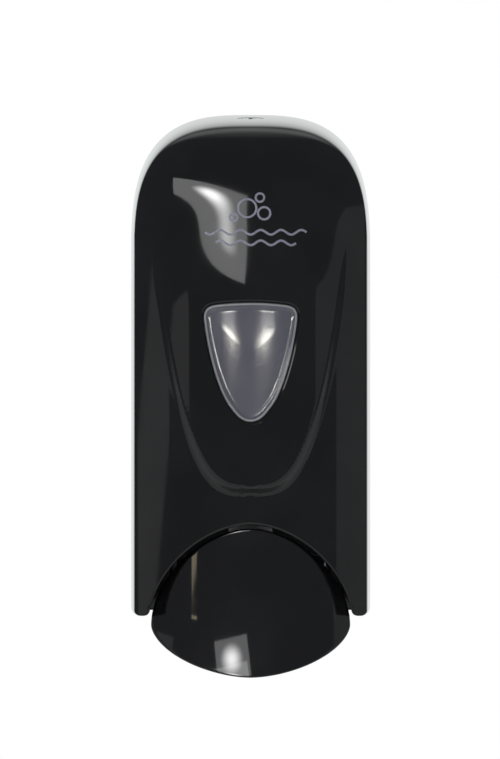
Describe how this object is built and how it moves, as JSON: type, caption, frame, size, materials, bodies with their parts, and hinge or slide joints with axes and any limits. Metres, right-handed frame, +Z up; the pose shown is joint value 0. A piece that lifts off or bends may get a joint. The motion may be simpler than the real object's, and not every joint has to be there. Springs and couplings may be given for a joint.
{
  "type": "wall mounted soap dispenser",
  "caption": "Manual foam soap dispenser for a wall: tall gloss cover with a shield window, domed push lever, refill pouch and foam pump.",
  "frame": {"origin": "middle of the wall plate's back face, which lies on the wall", "axes": "+Z up the wall, +Y into the wall, the front faces -Y, +X to the right seen from the front"},
  "size_m": [0.1142, 0.0981, 0.2674],
  "materials": {
    "cover_black": "high gloss moulded black",
    "lever_black": "high gloss moulded black",
    "window_clear": "clear smoke-tinted moulding",
    "chassis_black": "fine textured black",
    "shelf_grey": "fine textured grey",
    "pump_white": "semi-gloss natural white",
    "pouch_film": "soft translucent film",
    "steel": "zinc plated",
    "lock_steel": "turned, satin",
    "spring_steel": "drawn wire",
    "mesh_steel": "woven mesh",
    "seal_rubber": "matt",
    "foam_tape": "closed-cell foam tape with a paper liner"
  },
  "bodies": {
    "wall_unit": {"wall_plate": "chassis_black", "foam_tape_left": "foam_tape", "foam_tape_right": "foam_tape", "pump_shelf": "shelf_grey", "shelf_screw_left": "steel", "shelf_screw_right": "steel", "latch_keeper": "steel", "keeper_screw": "steel", "hinge_pin_left": "steel", "hinge_pin_right": "steel", "lever_axle": "steel", "axle_clip_left": "spring_steel", "axle_clip_right": "spring_steel", "lever_spring_left": "spring_steel", "lever_spring_right": "spring_steel", "soap_pouch": "pouch_film", "pouch_spout": "pump_white", "pump_collar": "pump_white", "pump_body": "pump_white", "inlet_ball": "steel", "pump_spring": "spring_steel"},
    "cover": {"cover_shell": "cover_black", "window_lens": "window_clear", "window_retainer": "chassis_black"},
    "lock": {"lock_barrel": "lock_steel", "lock_washer": "steel", "lock_cam": "lock_steel", "cam_screw": "steel"},
    "lever": {"push_lever": "lever_black", "lift_fork": "shelf_grey", "fork_screw_left": "steel", "fork_screw_right": "steel"},
    "pump": {"pump_piston": "pump_white", "piston_seal": "seal_rubber", "foam_nozzle": "pump_white", "foam_mesh_upper": "mesh_steel", "foam_mesh_lower": "mesh_steel"}
  },
  "joints": [
    {"name": "cover_hinge", "type": "hinge", "parent": "wall_unit", "child": "cover", "pos_m": [0, -0.009, -0.109], "axis": [1, 0, 0], "range_deg": [0, 95]},
    {"name": "lock_turn", "type": "hinge", "parent": "cover", "child": "lock", "pos_m": [0, -0.033, 0.109], "axis": [0, 0, 1], "range_deg": [0, 90]},
    {"name": "lever_push", "type": "hinge", "parent": "wall_unit", "child": "lever", "pos_m": [0, -0.072, -0.068], "axis": [1, 0, 0], "range_deg": [0, 12]},
    {"name": "pump_lift", "type": "slide", "parent": "wall_unit", "child": "pump", "axis": [0, 0, 1], "range_m": [0, 0.00714], "stiffness_N_per_m": 300, "springref_m": -0.005, "deforming": ["pump_spring"]}
  ],
  "couplings": [
    {"joint": "lever_push", "follows": "pump_lift", "rad_per_m": 29.33}
  ]
}
